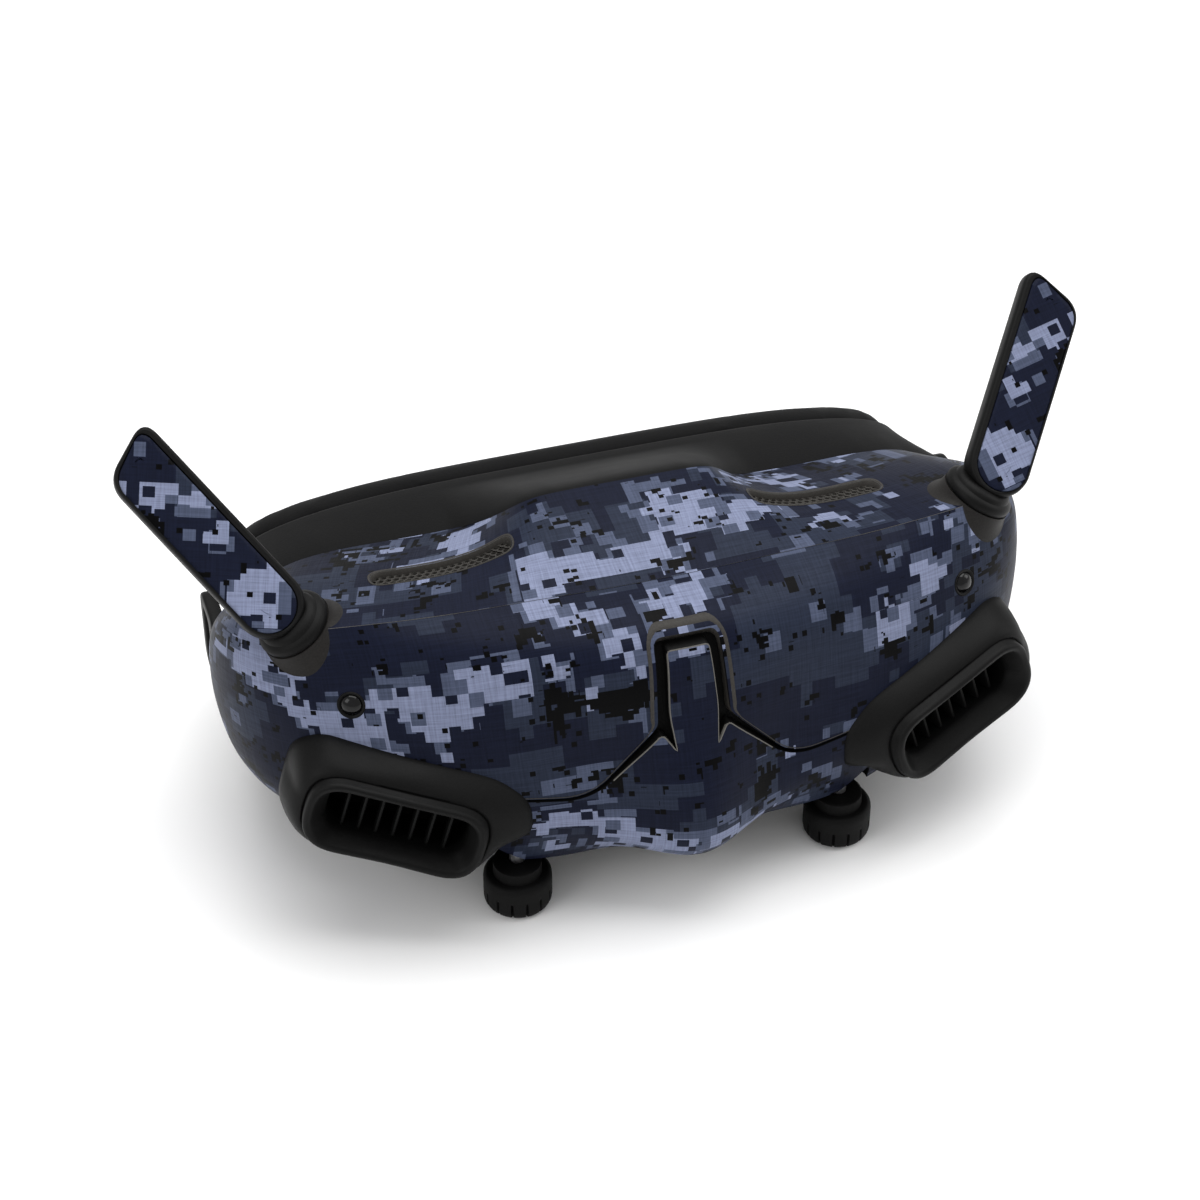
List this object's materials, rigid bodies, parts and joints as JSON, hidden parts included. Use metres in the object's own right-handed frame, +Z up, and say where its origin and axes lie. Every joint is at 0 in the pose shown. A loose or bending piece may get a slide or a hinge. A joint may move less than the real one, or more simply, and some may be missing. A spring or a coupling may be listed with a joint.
{
  "type": "fpv goggles",
  "caption": "Video goggles for drone flying: a curved casing with camouflage print, fold-back blade antennas, exhaust vents, focus knobs and a foam-edged face cup.",
  "frame": {"origin": "on the surface the goggles rest on, under the middle of their bounding box", "axes": "+X towards the wearer's left, +Y towards the wearer's face, +Z up; the front of the casing faces -Y"},
  "size_m": [0.1956, 0.1016, 0.0929],
  "materials": {
    "printed_skin": "camouflage print with a fine linen grain",
    "black_plastic": "fine grained matte black",
    "grey_plastic": "satin grey-brown",
    "gloss_black": "polished black",
    "lens_glass": "polished, coated",
    "face_foam": "soft knitted cover over foam",
    "steel": "brushed",
    "aluminium": "extruded, plain",
    "circuit_board": "solder mask green"
  },
  "bodies": {
    "housing": {"front_cover": "printed_skin", "top_cover": "printed_skin", "chin_cover": "printed_skin", "nose_arch_trim": "grey_plastic", "bottom_cover": "black_plastic", "brow_bridge": "black_plastic", "front_sensor_window_left": "gloss_black", "front_sensor_window_right": "gloss_black", "exhaust_vent_left": "black_plastic", "exhaust_vent_right": "black_plastic", "vent_louvre_left": "black_plastic", "vent_louvre_right": "black_plastic", "intake_grille_left": "black_plastic", "intake_grille_right": "black_plastic", "antenna_boss_left": "grey_plastic", "antenna_boss_right": "grey_plastic", "antenna_collar_left": "black_plastic", "antenna_collar_right": "black_plastic", "antenna_hinge_pin_left": "steel", "antenna_hinge_pin_right": "steel", "eye_shield": "black_plastic", "face_foam": "face_foam", "foam_frame": "black_plastic", "eyepiece_plate": "black_plastic", "plate_screw_left": "steel", "plate_screw_right": "steel", "proximity_window": "gloss_black", "slide_rail_front": "steel", "slide_rail_rear": "steel", "main_board": "circuit_board", "heat_sink": "aluminium", "fan_frame_left": "black_plastic", "fan_frame_right": "black_plastic", "headband_lug_left": "black_plastic", "headband_lug_right": "black_plastic"},
    "antenna_left": {"antenna_blade_left": "black_plastic", "antenna_faceplate_left": "printed_skin"},
    "eyepiece_left": {"eyepiece_barrel_left": "black_plastic", "display_panel_left": "gloss_black", "eyepiece_carriage_left": "black_plastic"},
    "lens_left": {"lens_cell_left": "black_plastic", "eyepiece_lens_left": "lens_glass"},
    "knob_left": {"focus_knob_left": "black_plastic", "knob_shaft_left": "steel"},
    "fan_left": {"fan_rotor_left": "black_plastic"},
    "antenna_right": {"antenna_blade_right": "black_plastic", "antenna_faceplate_right": "printed_skin"},
    "eyepiece_right": {"eyepiece_barrel_right": "black_plastic", "display_panel_right": "gloss_black", "eyepiece_carriage_right": "black_plastic"},
    "lens_right": {"lens_cell_right": "black_plastic", "eyepiece_lens_right": "lens_glass"},
    "knob_right": {"focus_knob_right": "black_plastic", "knob_shaft_right": "steel"},
    "fan_right": {"fan_rotor_right": "black_plastic"},
    "link_button": {"link_button": "black_plastic"}
  },
  "joints": [
    {"name": "antenna_fold_left", "type": "hinge", "parent": "housing", "child": "antenna_left", "pos_m": [0.07528, -0.00701, 0.06557], "axis": [-0.6068, 0.2023, 0.7687], "range_deg": [0, 46]},
    {"name": "eyepiece_slide_left", "type": "slide", "parent": "housing", "child": "eyepiece_left", "axis": [1, 0, 0], "range_m": [-0.004, 0.004]},
    {"name": "focus_turn_left", "type": "hinge", "parent": "eyepiece_left", "child": "knob_left", "pos_m": [0.0336, -0.03491, 0.004], "axis": [0, 0, 1], "range_deg": [-121, 121]},
    {"name": "lens_focus_left", "type": "slide", "parent": "eyepiece_left", "child": "lens_left", "axis": [0, 1, 0], "range_m": [-0.002, 0.002]},
    {"name": "fan_spin_left", "type": "hinge", "parent": "housing", "child": "fan_left", "pos_m": [0.0648, -0.00531, 0.032], "axis": [0, 1, 0], "continuous": true},
    {"name": "antenna_fold_right", "type": "hinge", "parent": "housing", "child": "antenna_right", "pos_m": [-0.07528, -0.00701, 0.06557], "axis": [-0.6068, -0.2023, -0.7687], "range_deg": [0, 46]},
    {"name": "eyepiece_slide_right", "type": "slide", "parent": "housing", "child": "eyepiece_right", "axis": [1, 0, 0], "range_m": [-0.004, 0.004]},
    {"name": "focus_turn_right", "type": "hinge", "parent": "eyepiece_right", "child": "knob_right", "pos_m": [-0.0336, -0.03491, 0.004], "axis": [0, 0, 1], "range_deg": [-121, 121]},
    {"name": "lens_focus_right", "type": "slide", "parent": "eyepiece_right", "child": "lens_right", "axis": [0, 1, 0], "range_m": [-0.002, 0.002]},
    {"name": "fan_spin_right", "type": "hinge", "parent": "housing", "child": "fan_right", "pos_m": [-0.0648, -0.00531, 0.032], "axis": [0, 1, 0], "continuous": true},
    {"name": "link_button_press", "type": "slide", "parent": "housing", "child": "link_button", "axis": [0, 0, 1], "range_m": [0, 0.0006], "stiffness_N_per_m": 1500, "springref_m": -0.0004}
  ],
  "couplings": [
    {"joint": "focus_turn_left", "follows": "lens_focus_left", "rad_per_m": 1050},
    {"joint": "focus_turn_right", "follows": "lens_focus_right", "rad_per_m": 1050}
  ]
}
